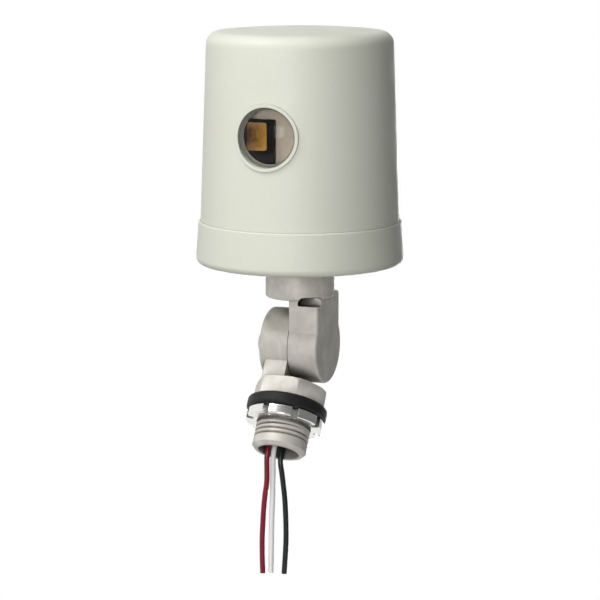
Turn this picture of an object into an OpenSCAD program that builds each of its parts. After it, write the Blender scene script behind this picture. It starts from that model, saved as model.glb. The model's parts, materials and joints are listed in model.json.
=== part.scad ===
// Photocell switch on a swivel stem, for an outdoor lighting circuit.
// A round moulded housing holds a light cell behind a window and a heater-driven bimetal switch.
// It turns on a hollow two-cheek swivel above a threaded nipple, which carries the three leads out.
// X runs along the swivel screw, -Y is the side with the window and +Z is up the housing's axis.
// The origin is on the nipple's axis, at the top of the thread left free under the locknut.

/* [Cover] */
// Outside diameter of the cover where it meets the base
cover_foot_d = 76.4; // [72:0.2:90]
// Height of the cover from the seam to the crown
cover_h = 73.8; // [66:0.2:90]
// Draft of the cover's side in degrees
cover_draft = 2.1; // [0.5:0.1:2.5]
// Radius of the cover's top edge
cover_edge_r = 5; // [3.2:0.2:7]
// Rise of the crown inside the top edge
crown_rise = 1.4; // [0.6:0.1:3]
// Wall thickness of the cover
cover_wall = 2.4; // [2:0.1:3]
// Depth of the skirt that enters the base
skirt_depth = 6.5; // [5:0.5:8]
// Thickness of the skirt
skirt_t = 1.7; // [1.4:0.1:2.2]

/* [Base] */
// Height of the base from its underside to the seam
base_h = 16.4; // [15:0.2:22]
// How far the base's rim stands out from the cover
rim_step = 0.8; // [0.4:0.1:2]
// How much wider the base is at its foot than at its rim
base_flare = 1.1; // [0.2:0.1:2]
// Radius of the base's lower edge
base_edge_r = 2.5; // [1:0.5:4]
// Thickness of the base's floor
base_floor = 3; // [2.4:0.2:4]
// Thickness of the seal ring under the skirt
cover_seal_t = 1.6; // [1:0.2:2.4]

/* [Window] */
// Height of the window's centre above the seam
window_h = 35; // [30:0.5:42]
// Diameter of the opening behind the lens
window_d = 20; // [17:0.2:20.4]
// Diameter of the lens
lens_d = 22.4; // [21.6:0.2:24]
// Thickness of the lens's dome
lens_wall = 1.6; // [1.2:0.1:2]
// Rise of the lens's dome above its rim
lens_dome = 2.8; // [1.5:0.1:3.5]
// Width of the raised lip round the lens
lip_w = 1.3; // [1:0.1:2]
// Height of that lip above the cover
lip_h = 0.6; // [0.3:0.1:1]
// Width of the light cell
cell_w = 7.6; // [6:0.2:8]
// Height of the light cell
cell_h = 10.2; // [8:0.2:10.6]
// Thickness of the light cell
cell_t = 2.6; // [2:0.2:3.2]
// Width of the black case beside the cell
case_side = 2.6; // [1.6:0.1:3.2]
// Height of the black case above the cell
case_top = 1.1; // [0.8:0.1:2]

/* [Swivel] */
// Diameter of the round neck under the base
neck_d = 26.6; // [24:0.2:30]
// Length of the neck
neck_l = 13.3; // [11:0.1:18]
// Distance from the swivel's axis to the neck
neck_drop = 19.2; // [18.6:0.1:22]
// Radius of the round cheek on each arm
cheek_r = 14.2; // [13.8:0.1:15.6]
// Thickness of each cheek
cheek_t = 11.8; // [10.6:0.1:13]
// Radius on the cheeks' outer edges
cheek_edge_r = 1.2; // [0.8:0.1:2]
// Width of the upper arm between its cheek and the neck
head_arm_w = 24.6; // [22:0.2:26]
// Height of the notch in the upper arm under the neck's front
notch_h = 3.3; // [2:0.1:4]
// Depth of that notch behind the arm's front
notch_depth = 3.4; // [2:0.1:5]
// Width of the lower arm between its cheek and the hex
stem_arm_w = 19.2; // [17:0.2:24]
// Thickness of the lower arm
stem_arm_t = 9.6; // [9.4:0.1:11]
// Diameter of the clamping screw
screw_d = 5; // [4:0.5:6]
// Lean of the stem out of the housing's axis, in degrees
rest_tilt = 32; // [0:1:40]

/* [Nipple] */
// Outside diameter of the nipple's thread
thread_d = 20.9; // [20:0.1:22]
// Diameter of the wire bore in the nipple
bore_d = 15.8; // [14:0.1:16.4]
// Length of the nipple below its shoulder
nipple_l = 19.6; // [17:0.2:30]
// Distance from the swivel's axis to the hex shoulder
hex_drop = 17.7; // [17.2:0.1:20]
// Size of the hex shoulder across its flats
hex_af = 25.4; // [25:0.1:28]
// Height of the hex shoulder
hex_h = 7; // [5:0.2:10]
// Outside diameter of the rubber gasket
gasket_d = 31; // [28:0.5:34]
// Thickness of the rubber gasket
gasket_t = 4.8; // [3:0.2:5.4]
// Outside diameter of the locknut over its lugs
locknut_d = 29.8; // [27:0.2:33]
// Thickness of the locknut
locknut_t = 4; // [3:0.2:4.6]
// Number of lugs on the locknut
locknut_lugs = 8; // [4:1:8]

/* [Switch] */
// Diameter of the plate that carries the switch
plate_d = 62; // [58:1:64]
// Thickness of that plate
plate_t = 2; // [1.6:0.2:3]
// Height of the posts under the plate
post_h = 10; // [9:0.5:12]
// Length of the bimetal blade
blade_l = 34; // [28:1:40]
// Width of the bimetal blade
blade_w = 7; // [6:0.5:9]
// Thickness of the blades
blade_t = 0.6; // [0.4:0.1:0.8]
// Thickness of the brass terminals
brass_t = 1.2; // [0.8:0.1:1.6]
// Height of each contact's head
contact_t = 1.6; // [1.2:0.1:2.4]
// Diameter of the contact heads
contact_d = 4.4; // [3.6:0.2:5.4]

/* [Leads] */
// Diameter of each insulated lead
lead_d = 2.1; // [1.8:0.1:2.6]

/* [Hidden] */

$fn = 96;
// Amount by which cuts run past the faces they open
past = 1;
// Gap between parts that slide or screw together
fit_gap = 0.1;
// Steps along a rounded corner
corner_steps = 10;

// Colours
shell_grey = [0.83, 0.84, 0.78];
zinc = [0.70, 0.69, 0.66];
steel = [0.62, 0.62, 0.62];
rubber_black = [0.10, 0.10, 0.11];
plastic_black = [0.07, 0.06, 0.06];
fibre_tan = [0.46, 0.41, 0.35];
brass = [0.80, 0.65, 0.32];
silver = [0.85, 0.85, 0.83];

// Heights above the swivel's axis
base_z = neck_drop + neck_l;
floor_z = base_z + base_floor;
seam_z = base_z + base_h;
plate_z = floor_z + post_h;
deck_z = plate_z + plate_t;
window_z = seam_z + window_h;

// Radii of the housing
cover_foot_r = cover_foot_d / 2;
rim_r = cover_foot_r + rim_step;
base_foot_r = rim_r + base_flare;
skirt_shoulder = 1.4;
skirt_r = cover_foot_r - skirt_shoulder;
skirt_in_r = skirt_r - skirt_t;
socket_r = skirt_r + 0.15;
bead_h = 0.4;
bead_drop = 3;
ledge_t = 2;
ledge_z = seam_z - skirt_depth - cover_seal_t;

// Distances down the stem from the swivel's axis
shoulder_s = hex_drop + hex_h;
locknut_s = shoulder_s + gasket_t + 0.2;
relief_s = locknut_s + locknut_t;
relief_w = 1;
relief_depth = 0.5;
free_thread_s = relief_s + relief_w;
nipple_end_s = shoulder_s + nipple_l;
nipple_chamfer = 1.2;

// Place of the swivel's axis
pivot = free_thread_s * [0, sin(rest_tilt), cos(rest_tilt)];

module in_head() {
    translate(pivot) children();
}

module in_stem() {
    translate(pivot) rotate([-rest_tilt, 0, 0]) children();
}

// Turns a shape that stands on Z so that it runs along X, or out through the window along -Y
module along_x() {
    rotate([0, 90, 0]) children();
}

module out_of_window() {
    rotate([90, 0, 0]) children();
}

// Points on an arc from one angle to another
function arc(centre, r, from, to, steps) =
    [for (i = [0:steps]) let (a = from + (to - from) * i / steps) centre + r * [cos(a), sin(a)]];

function unit(v) = v / norm(v);

// An outline from corners given as [x, y, radius], each rounded by its radius
function rounded(corners, steps = corner_steps) =
    [for (i = [0:len(corners) - 1])
        let (
            here = [corners[i][0], corners[i][1]],
            before = corners[(i + len(corners) - 1) % len(corners)],
            after = corners[(i + 1) % len(corners)],
            u = unit([before[0], before[1]] - here),
            v = unit([after[0], after[1]] - here),
            half = acos(max(-1, min(1, u * v))) / 2,
            r = corners[i][2]
        )
        each r == 0 ? [here] :
            let (
                centre = here + unit(u + v) * r / sin(half),
                start = here + u * r / tan(half) - centre,
                end = here + v * r / tan(half) - centre,
                a = atan2(start[1], start[0]),
                turn = atan2(end[1], end[0]) - a,
                sweep = turn > 180 ? turn - 360 : turn < -180 ? turn + 360 : turn
            )
            arc(centre, r, a, a + sweep, steps)];

module hex(af, h) {
    cylinder(d = af / cos(30), h = h, $fn = 6);
}

module ring(outer, inner, h) {
    difference() {
        cylinder(r = outer, h = h);
        translate([0, 0, -past]) cylinder(r = inner, h = h + 2 * past);
    }
}

// Tube of eight sides along a list of points, with its rings turned from the direction given
tube_sides = 8;

function ring_points(p, along, r, side) =
    let (a = unit(cross(along, side)), b = cross(unit(along), a))
    [for (i = [0:tube_sides - 1])
        let (t = 360 * (i + 0.5) / tube_sides) p + r * (a * cos(t) + b * sin(t))];

function along(path, i) = path[min(i + 1, len(path) - 1)] - path[max(i - 1, 0)];

module tube(path, r, side) {
    rings = len(path);
    polyhedron(
        points = [for (i = [0:rings - 1]) each ring_points(path[i], along(path, i), r, side)],
        faces = concat(
            [[for (k = [0:tube_sides - 1]) k]],
            [for (i = [0:rings - 2], k = [0:tube_sides - 1])
                let (
                    low = i * tube_sides,
                    high = low + tube_sides,
                    n = (k + 1) % tube_sides
                )
                each [[low + n, low + k, high + k], [low + n, high + k, high + n]]],
            [[for (k = [tube_sides - 1:-1:0]) (rings - 1) * tube_sides + k]]
        )
    );
}

// Half profile of the cover, set in by a distance from its outside
function cover_side(inset) =
    let (
        foot = cover_foot_r - inset / cos(cover_draft),
        top = cover_h - inset,
        edge = max(cover_edge_r - inset, 0.6),
        edge_z = top - edge - crown_rise,
        edge_x = foot - (edge + edge_z * sin(cover_draft)) / cos(cover_draft),
        crown_r = (pow(edge_x, 2) + pow(edge + crown_rise, 2) - pow(edge, 2)) / (2 * crown_rise),
        meet = atan2(edge_z - top + crown_r, edge_x)
    )
    concat(
        [[foot, 0]],
        arc([edge_x, edge_z], edge, cover_draft, meet, corner_steps),
        [for (i = [1:corner_steps])
            let (a = meet + (90 - meet) * i / corner_steps)
            i == corner_steps ? [0, top] : [crown_r * cos(a), top - crown_r + crown_r * sin(a)]]
    );

module cover_solid(inset) {
    rotate_extrude() polygon(concat([[0, 0]], cover_side(inset)));
}

function reversed(list) = [for (i = [len(list) - 1:-1:0]) list[i]];

// Depths of the window's parts behind the cover's face
window_r = cover_foot_r - window_h * tan(cover_draft);
lens_rim_t = 1.6;
lens_proud = 0.4;
lens_seat_y = window_r + lens_proud - lens_dome - lens_rim_t;
window_wall = 1.2;
holder_y = lens_seat_y - window_wall;
holder_t = 4.6;
holder_r = lens_d / 2 - 0.2;
lip_r = lens_d / 2 + lip_w;
cell_shift = [-5, 0];
// Height at which the skirt's inner face runs out into the cover's wall
skirt_lap = 2;

module cover() {
    inner = cover_side(cover_wall);
    skirt = [
        [skirt_in_r, skirt_lap - 1], [skirt_in_r, -skirt_depth], [skirt_r, -skirt_depth],
        [skirt_r, -bead_drop - bead_h], [skirt_r + bead_h, -bead_drop],
        [skirt_r, -bead_drop + bead_h], [skirt_r, 0]
    ];
    inner_foot = [inner[0][0] - skirt_lap * tan(cover_draft), skirt_lap];
    upper_inner = [for (i = [1:len(inner) - 1]) inner[i]];
    color(shell_grey) in_head() translate([0, 0, seam_z]) difference() {
        union() {
            rotate_extrude()
                polygon(concat(skirt, cover_side(0), reversed(upper_inner), [inner_foot]));
            intersection() {
                cover_solid(-lip_h);
                translate([0, 0, window_h]) out_of_window()
                    translate([0, 0, holder_y - holder_t])
                        cylinder(r = lip_r, h = window_r);
            }
        }
        translate([0, 0, window_h]) out_of_window() {
            translate([0, 0, lens_seat_y]) cylinder(d = lens_d + 2 * fit_gap, h = window_r);
            translate([0, 0, holder_y - past]) cylinder(d = window_d, h = window_r);
            translate([0, 0, holder_y - holder_t - past])
                cylinder(r = holder_r + fit_gap, h = holder_t + past);
        }
    }
}

module window_lens() {
    lens_r = lens_d / 2;
    dome_r = (pow(lens_r, 2) + pow(lens_dome, 2)) / (2 * lens_dome);
    lens_h = lens_rim_t + lens_dome;
    color([0.80, 0.78, 0.72, 0.5]) in_head()
        translate([0, 0, window_z]) out_of_window() translate([0, 0, lens_seat_y])
            difference() {
                intersection() {
                    cylinder(r = lens_r, h = lens_h);
                    translate([0, 0, lens_h - dome_r]) sphere(r = dome_r);
                }
                intersection() {
                    translate([0, 0, -past]) cylinder(d = window_d, h = lens_h);
                    translate([0, 0, lens_h - dome_r]) sphere(r = dome_r - lens_wall);
                }
            }
}

// Rounded block as wide and high as the cell, grown all round
module cell_block(grow, depth) {
    w = cell_w / 2 + grow;
    h = cell_h / 2 + grow;
    cell_corner = 1 + grow;
    linear_extrude(depth) polygon(rounded([
        [-w, -h, cell_corner], [w, -h, cell_corner], [w, h, cell_corner], [-w, h, cell_corner]
    ]));
}

// Places of the cell's two wires across the cell
cell_wire_d = 0.8;
cell_wire_pitch = 5;
cell_wire_x = [for (side = [-1, 1]) cell_shift[0] + side * cell_wire_pitch / 2];
cell_floor_y = holder_y - cell_t;

module cell_holder() {
    color(fibre_tan) in_head()
        translate([0, 0, window_z]) out_of_window() difference() {
            translate([0, 0, holder_y - holder_t]) cylinder(r = holder_r, h = holder_t - cell_t);
            for (x = cell_wire_x)
                translate([x, cell_shift[1], holder_y - holder_t - past])
                    cylinder(d = cell_wire_d + 2 * fit_gap, h = holder_t + past);
        }
}

// The case fills the round space in front of the holder up to its straight edges beside and above the cell
module cell_case() {
    case_corner = 0.8;
    far = 2 * holder_r;
    right = cell_shift[0] + cell_w / 2 + case_side;
    top = cell_shift[1] + cell_h / 2 + case_top;
    color(plastic_black) in_head()
        translate([0, 0, window_z]) out_of_window() translate([0, 0, cell_floor_y]) difference() {
            intersection() {
                cylinder(r = holder_r, h = cell_t);
                linear_extrude(cell_t) polygon(rounded([
                    [-far, -far, 0], [right, -far, 0], [right, top, case_corner], [-far, top, 0]
                ]));
            }
            translate([cell_shift[0], cell_shift[1], -past])
                cell_block(fit_gap, cell_t + 2 * past);
        }
}

module photocell() {
    color([0.72, 0.50, 0.20]) in_head()
        translate([0, 0, window_z]) out_of_window()
            translate([cell_shift[0], cell_shift[1], cell_floor_y]) cell_block(0, cell_t);
}

// The cell's wires run back out of the holder and bend down to the plate
module cell_leads() {
    wire_r = cell_wire_d / 2;
    bend_r = 2;
    back = 3;
    top = window_z + cell_shift[1];
    drop_y = cell_floor_y - holder_t + cell_t - back - bend_r;
    color(steel) in_head() for (x = cell_wire_x) {
        translate([x, -cell_floor_y, top]) rotate([-90, 0, 0])
            cylinder(r = wire_r, h = cell_floor_y - drop_y - bend_r);
        translate([x, -drop_y - bend_r, top - bend_r]) rotate([0, -90, 0])
            rotate_extrude(angle = 90) translate([bend_r, 0]) circle(r = wire_r, $fn = 24);
        translate([x, -drop_y, deck_z]) cylinder(r = wire_r, h = top - bend_r - deck_z);
    }
}

module cover_seal() {
    color(rubber_black) in_head() translate([0, 0, ledge_z])
        ring(skirt_r, skirt_in_r, cover_seal_t);
}

// Posts under the switch plate, one of them straight behind the window
post_d = 7.5;
post_ring_r = 26;
post_angles = [90, 210, 330];
plate_screw_d = 3;
plate_screw_l = 8;

module at_posts(z) {
    for (a = post_angles) rotate(a) translate([post_ring_r, 0, z]) children();
}

module base() {
    rim_edge_r = 0.6;
    ledge_in_r = skirt_in_r - 0.4;
    groove_h = bead_h + 0.2;
    profile = [
        [0, base_z, 0], [base_foot_r, base_z, base_edge_r], [rim_r, seam_z, rim_edge_r],
        [socket_r, seam_z, 0], [socket_r, seam_z - bead_drop + groove_h, 0],
        [socket_r + bead_h, seam_z - bead_drop, 0], [socket_r, seam_z - bead_drop - groove_h, 0],
        [socket_r, ledge_z, 0], [ledge_in_r, ledge_z, 0], [ledge_in_r, ledge_z - ledge_t, 0],
        [socket_r, ledge_z - 2 * ledge_t, 0], [socket_r, floor_z, 1], [0, floor_z, 0]
    ];
    color(shell_grey) in_head() difference() {
        union() {
            rotate_extrude() polygon(rounded(profile));
            at_posts(floor_z - 0.5) cylinder(d = post_d, h = post_h + 0.5);
        }
        translate([0, 0, base_z - past])
            cylinder(d = thread_d + 2 * fit_gap, h = base_floor + 2 * past);
        at_posts(plate_z - plate_screw_l)
            cylinder(d = plate_screw_d + 2 * fit_gap, h = plate_screw_l + past);
    }
}

// Parts on the switch plate stand behind the lead hole, with the blades facing each other along X
switch_y = 14;
lead_hole_d = 15;
blade_x = 2.5;
root_gap = 0.3;
rest_gap = 0.05;
contact_z = brass_t + root_gap + blade_l - contact_d;
contact_face_x = blade_x - contact_t;
fixed_face_x = contact_face_x - rest_gap;
comp_x = fixed_face_x - contact_t - blade_t;
tab_h = 9;
load_tab_h = 20;
foot_l = 7;
foot_w = blade_w + 1;
rivet_d = 2.4;
rivet_head_d = 4;
rivet_head_t = 0.9;
neutral_at = [-21, 3];
heater_x = blade_x + blade_t + 8;
surge_at = [14, -4];

// Places of the rivets that hold the three terminals
rivet_places = [
    [blade_x + 3.6, switch_y + foot_w / 2 - 2.4],
    [comp_x - 5, switch_y + foot_w / 2 - 2.4],
    [neutral_at[0] + 4.5, neutral_at[1] + foot_w / 2 - 2.4]
];

module on_deck() {
    in_head() translate([0, 0, deck_z]) children();
}

module at_switch() {
    on_deck() translate([0, switch_y, 0]) children();
}

module rivet_holes() {
    for (p = rivet_places)
        translate([p[0], p[1], -past]) cylinder(d = rivet_d + 2 * fit_gap, h = brass_t + 2 * past);
}

module switch_plate() {
    color([0.36, 0.22, 0.13]) in_head() difference() {
        translate([0, 0, plate_z]) cylinder(d = plate_d, h = plate_t);
        translate([0, 0, plate_z - past]) cylinder(d = lead_hole_d, h = plate_t + 2 * past);
        at_posts(plate_z - past)
            cylinder(d = plate_screw_d + 2 * fit_gap, h = plate_t + 2 * past);
        for (p = rivet_places)
            translate([p[0], p[1], plate_z - past])
                cylinder(d = rivet_d + 2 * fit_gap, h = plate_t + 2 * past);
    }
}

module pan_screw(d, l, head_d, head_t) {
    slot_w = d / 4;
    difference() {
        union() {
            translate([0, 0, -l]) cylinder(d = d, h = l);
            rotate_extrude() polygon(rounded([
                [0, 0, 0], [head_d / 2, 0, 0], [head_d / 2, head_t, head_t / 2], [0, head_t, 0]
            ]));
        }
        translate([-head_d, -slot_w / 2, head_t / 2]) cube([2 * head_d, slot_w, head_t]);
    }
}

module plate_screws() {
    color(steel) in_head() at_posts(deck_z)
        pan_screw(plate_screw_d, plate_screw_l - past, 5.6, 2);
}

// Angle of brass strip: a foot on the plate and an upright tab at its inner end
module terminal(tab_x, foot_dir, h) {
    translate([min(tab_x, tab_x + foot_dir * foot_l), -foot_w / 2, 0])
        cube([foot_l, foot_w, brass_t]);
    translate([foot_dir > 0 ? tab_x : tab_x - brass_t, -blade_w / 2, 0])
        cube([brass_t, blade_w, h]);
}

module line_terminal() {
    color(brass) difference() {
        at_switch() terminal(blade_x - brass_t, 1, tab_h);
        on_deck() rivet_holes();
    }
}

adjust_z = 15;
adjust_d = 2.5;

module load_terminal() {
    color(brass) difference() {
        at_switch() terminal(comp_x, -1, load_tab_h);
        on_deck() rivet_holes();
        at_switch() translate([comp_x - brass_t - past, 0, adjust_z]) along_x()
            cylinder(d = adjust_d + 2 * fit_gap, h = brass_t + 2 * past);
    }
}

module neutral_terminal() {
    color(brass) difference() {
        on_deck() translate([neutral_at[0], neutral_at[1], 0]) terminal(0, 1, tab_h);
        on_deck() rivet_holes();
    }
}

module terminal_rivets() {
    color(brass) on_deck() for (p = rivet_places) translate([p[0], p[1], 0]) {
        translate([0, 0, -plate_t - rivet_head_t]) cylinder(d = rivet_head_d, h = rivet_head_t);
        translate([0, 0, -plate_t]) cylinder(d = rivet_d, h = plate_t + brass_t);
        translate([0, 0, brass_t]) cylinder(d = rivet_head_d, h = rivet_head_t);
    }
}

// Rivet-shaped contact with its face towards -X and its shank through a blade
contact_shank_d = contact_d / 2;
contact_tail_t = 0.7;

module contact_button(blade_face) {
    translate([blade_face, 0, contact_z]) along_x() {
        translate([0, 0, -contact_t]) cylinder(d = contact_d, h = contact_t);
        cylinder(d = contact_shank_d, h = blade_t);
        translate([0, 0, blade_t]) cylinder(d = contact_d * 0.8, h = contact_tail_t);
    }
}

module blade(x) {
    difference() {
        translate([x, -blade_w / 2, brass_t + root_gap]) cube([blade_t, blade_w, blade_l]);
        translate([x - past, 0, contact_z]) along_x()
            cylinder(d = contact_shank_d + 2 * fit_gap, h = blade_t + 2 * past);
    }
}

module bimetal_blade() {
    color([0.66, 0.58, 0.48]) at_switch() blade(blade_x);
}

module moving_contact() {
    color(silver) at_switch() contact_button(blade_x);
}

module compensating_blade() {
    color([0.60, 0.56, 0.50]) at_switch() blade(comp_x);
}

module fixed_contact() {
    color(silver) at_switch() translate([2 * comp_x + blade_t, 0, 0]) mirror([1, 0, 0])
        contact_button(comp_x);
}

module calibration_screw() {
    color(steel) at_switch() translate([comp_x - brass_t - 3, 0, adjust_z]) rotate([0, -90, 0])
        pan_screw(adjust_d, brass_t + 3, 4.4, 1.8);
}

// Heater beside the bimetal blade, standing on one wire with the other brought down next to it
heater_d = 5.2;
heater_l = 20;
heater_lift = 3;
heater_wire_d = 0.8;
heater_pitch = 4;

module heater_resistor() {
    cap_r = 0.8;
    wire_r = heater_wire_d / 2;
    bend_r = heater_pitch / 2;
    top = heater_lift + heater_l + 1;
    body_r = heater_d / 2;
    color([0.80, 0.78, 0.70]) at_switch() translate([heater_x, 0, 0]) {
        translate([0, 0, heater_lift]) rotate_extrude() polygon(rounded([
            [0, 0, 0], [body_r, 0, cap_r], [body_r, heater_l, cap_r], [0, heater_l, 0]
        ]));
        cylinder(r = wire_r, h = top, $fn = 24);
        translate([0, bend_r, top]) rotate([90, 0, 90])
            rotate_extrude(angle = 180) translate([bend_r, 0]) circle(r = wire_r, $fn = 24);
        translate([0, heater_pitch, 0]) cylinder(r = wire_r, h = top, $fn = 24);
    }
}

module surge_disc() {
    disc_d = 11;
    disc_t = 4;
    edge_r = 1.4;
    wire_r = 0.4;
    lift = 3;
    color([0.16, 0.27, 0.55]) on_deck() translate([surge_at[0], surge_at[1], 0]) {
        translate([0, 0, lift + disc_d / 2]) rotate([90, 0, 0]) rotate_extrude()
            polygon(rounded([
                [0, -disc_t / 2, 0], [disc_d / 2, -disc_t / 2, edge_r],
                [disc_d / 2, disc_t / 2, edge_r], [0, disc_t / 2, 0]
            ]));
        for (side = [-1, 1])
            translate([side * disc_d / 4, 0, 0]) cylinder(r = wire_r, h = lift + disc_d / 2, $fn = 24);
    }
}

// Passages for the leads through the two arms of the swivel
contact_gap = 0.2;
pocket_r = 9;
pocket_depth = 7.5;
boss_r = screw_d / 2 + 2.3;
passage_d = 6.4;
passage_x = 4.6;
neck_bore_d = 14;
neck_bore_floor = neck_drop + 4;
neck_nut_t = 4.5;
spigot_l = base_floor + neck_nut_t + 1.5;
spigot_chamfer = 1;
neck_groove_r = 12;
neck_seal_w = 1.4;
neck_seal_t = 1.2;

// Round cheek of the swivel, standing on the plane X = 0, with an arm that runs up from it
module cheek(arm_w, arm_t, up) {
    inner = contact_gap / 2;
    disc = rounded([
        [0, inner, 0], [cheek_r, inner, 0], [cheek_r, cheek_t, cheek_edge_r], [0, cheek_t, 0]
    ]);
    arm_plan = rounded([
        [inner, -arm_w / 2, 0], [arm_t, -arm_w / 2, cheek_edge_r],
        [arm_t, arm_w / 2, cheek_edge_r], [inner, arm_w / 2, 0]
    ]);
    arm_side = rounded([
        [inner, 0, 0], [arm_t, 0, 0], [arm_t, up, cheek_edge_r], [inner, up, 0]
    ]);
    along_x() rotate_extrude() polygon(disc);
    intersection() {
        linear_extrude(up) polygon(arm_plan);
        translate([0, arm_w, 0]) rotate([90, 0, 0]) linear_extrude(2 * arm_w) polygon(arm_side);
    }
}

// Ring-shaped hollow round the screw, and the way from it to the arm's bore
module lead_passage(up) {
    difference() {
        translate([-past, 0, 0]) along_x() cylinder(r = pocket_r, h = pocket_depth + past);
        translate([-2 * past, 0, 0]) along_x() cylinder(r = boss_r, h = pocket_depth + 3 * past);
    }
    translate([passage_x, 0, boss_r]) cylinder(d = passage_d, h = up - boss_r);
}

// Notch at the front of the upper arm, open to its outer side and a little way up into the neck
module neck_notch() {
    inner_x = 3.6;
    corner_r = 2.6;
    back_y = notch_depth - head_arm_w / 2;
    top = neck_drop + 1.4;
    translate([0, back_y, 0]) rotate([90, 0, 0]) linear_extrude(neck_d) polygon(rounded([
        [inner_x, top - notch_h, 0.6], [neck_d, top - notch_h, 0], [neck_d, top, 0],
        [inner_x, top, corner_r]
    ]));
}

module swivel_head_arm() {
    screw_room = pocket_depth + 1.8;
    neck_r = neck_d / 2;
    neck_edge_r = 1;
    color(zinc) in_head() difference() {
        union() {
            cheek(head_arm_w, cheek_t, neck_drop + past);
            translate([0, 0, neck_drop]) rotate_extrude() polygon(rounded([
                [0, 0, 0], [neck_r, 0, neck_edge_r], [neck_r, neck_l, 0], [thread_d / 2, neck_l, 0],
                [thread_d / 2, neck_l + spigot_l - spigot_chamfer, 0],
                [thread_d / 2 - spigot_chamfer, neck_l + spigot_l, 0], [0, neck_l + spigot_l, 0]
            ]));
        }
        lead_passage(neck_bore_floor + past);
        translate([0, 0, neck_bore_floor])
            cylinder(d = neck_bore_d, h = base_z + spigot_l - neck_bore_floor + past);
        along_x() cylinder(d = screw_d + fit_gap, h = screw_room);
        neck_notch();
        translate([0, 0, base_z - neck_seal_t])
            ring(neck_groove_r + neck_seal_w / 2, neck_groove_r - neck_seal_w / 2,
                neck_seal_t + past);
    }
}

module neck_seal() {
    color(rubber_black) in_head() translate([0, 0, base_z - neck_seal_t])
        ring(neck_groove_r + neck_seal_w / 2 - fit_gap, neck_groove_r - neck_seal_w / 2 + fit_gap,
            neck_seal_t);
}

module neck_nut() {
    nut_af = thread_d + 5.5;
    color(steel) in_head() translate([0, 0, floor_z]) difference() {
        hex(nut_af, neck_nut_t);
        translate([0, 0, -past]) cylinder(d = thread_d + 2 * fit_gap, h = neck_nut_t + 2 * past);
    }
}

// Ring seal between the two cheeks
seal_r = (pocket_r + cheek_r) / 2;
seal_d = 1.6;
seal_proud = 0.1;
stem_bore_top = shoulder_s - 2.4;

module swivel_stem_arm() {
    nipple_r = thread_d / 2;
    color(zinc) in_stem() difference() {
        union() {
            mirror([1, 0, 0]) mirror([0, 0, 1]) cheek(stem_arm_w, stem_arm_t, hex_drop + past);
            translate([0, 0, -shoulder_s]) intersection() {
                hex(hex_af, hex_h);
                rotate_extrude() polygon(rounded([
                    [0, 0, 0], [hex_af / 2 / cos(30) + 0.01, 0, 0],
                    [hex_af / 2 / cos(30) - 0.3, hex_h, 1.6], [0, hex_h, 0]
                ]));
            }
            translate([0, 0, -nipple_end_s]) rotate_extrude() polygon([
                [0, 0], [nipple_r - nipple_chamfer, 0], [nipple_r, nipple_chamfer],
                [nipple_r, nipple_end_s - free_thread_s],
                [nipple_r - relief_depth, nipple_end_s - free_thread_s],
                [nipple_r - relief_depth, nipple_end_s - relief_s],
                [nipple_r, nipple_end_s - relief_s],
                [nipple_r, nipple_l + past], [0, nipple_l + past]
            ]);
        }
        mirror([1, 0, 0]) mirror([0, 0, 1]) lead_passage(stem_bore_top + past);
        translate([0, 0, -nipple_end_s - past])
            cylinder(d = bore_d, h = nipple_end_s - stem_bore_top + past);
        rotate([0, -90, 0]) cylinder(d = screw_d + 2 * fit_gap, h = cheek_t + past);
        rotate([0, -90, 0]) translate([0, 0, contact_gap / 2 - past])
            ring(seal_r + seal_d / 2 + fit_gap, seal_r - seal_d / 2 - fit_gap,
                seal_d - seal_proud + past);
    }
}

washer_t = 1.2;
screw_head_d = screw_d * 1.9;
screw_head_t = screw_d * 0.62;

module swivel_screw() {
    color(steel) in_head() translate([-cheek_t - washer_t, 0, 0]) rotate([0, -90, 0])
        pan_screw(screw_d, cheek_t + washer_t + pocket_depth, screw_head_d, screw_head_t);
}

module swivel_washer() {
    color(steel) in_stem() translate([-cheek_t - washer_t, 0, 0]) along_x()
        ring(screw_head_d / 2 - 0.2, screw_d / 2 + fit_gap, washer_t);
}

module swivel_seal() {
    color(rubber_black) in_stem() translate([-contact_gap / 2 + seal_proud - seal_d / 2, 0, 0])
        along_x() rotate_extrude() translate([seal_r, 0]) circle(d = seal_d, $fn = 32);
}

module mounting_gasket() {
    gasket_r = gasket_d / 2;
    gasket_edge_r = 1.2;
    hole_r = thread_d / 2 + fit_gap;
    color(rubber_black) in_stem() translate([0, 0, -shoulder_s - gasket_t]) rotate_extrude()
        polygon(rounded([
            [hole_r, 0, 0], [gasket_r, 0, gasket_edge_r], [gasket_r, gasket_t, gasket_edge_r],
            [hole_r, gasket_t, 0]
        ]));
}

// Ring nut with square gaps between its lugs
module conduit_locknut() {
    nut_r = locknut_d / 2;
    gap_w = 2.6;
    gap_depth = 2.8;
    stop_angle = 11;
    nut_edge_r = 0.6;
    hole_r = thread_d / 2 + fit_gap;
    color(zinc) in_stem() translate([0, 0, -relief_s]) difference() {
        rotate_extrude() polygon(rounded([
            [hole_r, 0, 0], [nut_r, 0, nut_edge_r], [nut_r, locknut_t, nut_edge_r],
            [hole_r, locknut_t, 0]
        ]));
        for (i = [0:locknut_lugs - 1]) rotate(stop_angle + 360 * (i + 0.5) / locknut_lugs)
            translate([nut_r - gap_depth, -gap_w / 2, -past])
                cube([nut_r, gap_w, locknut_t + 2 * past]);
    }
}

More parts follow.
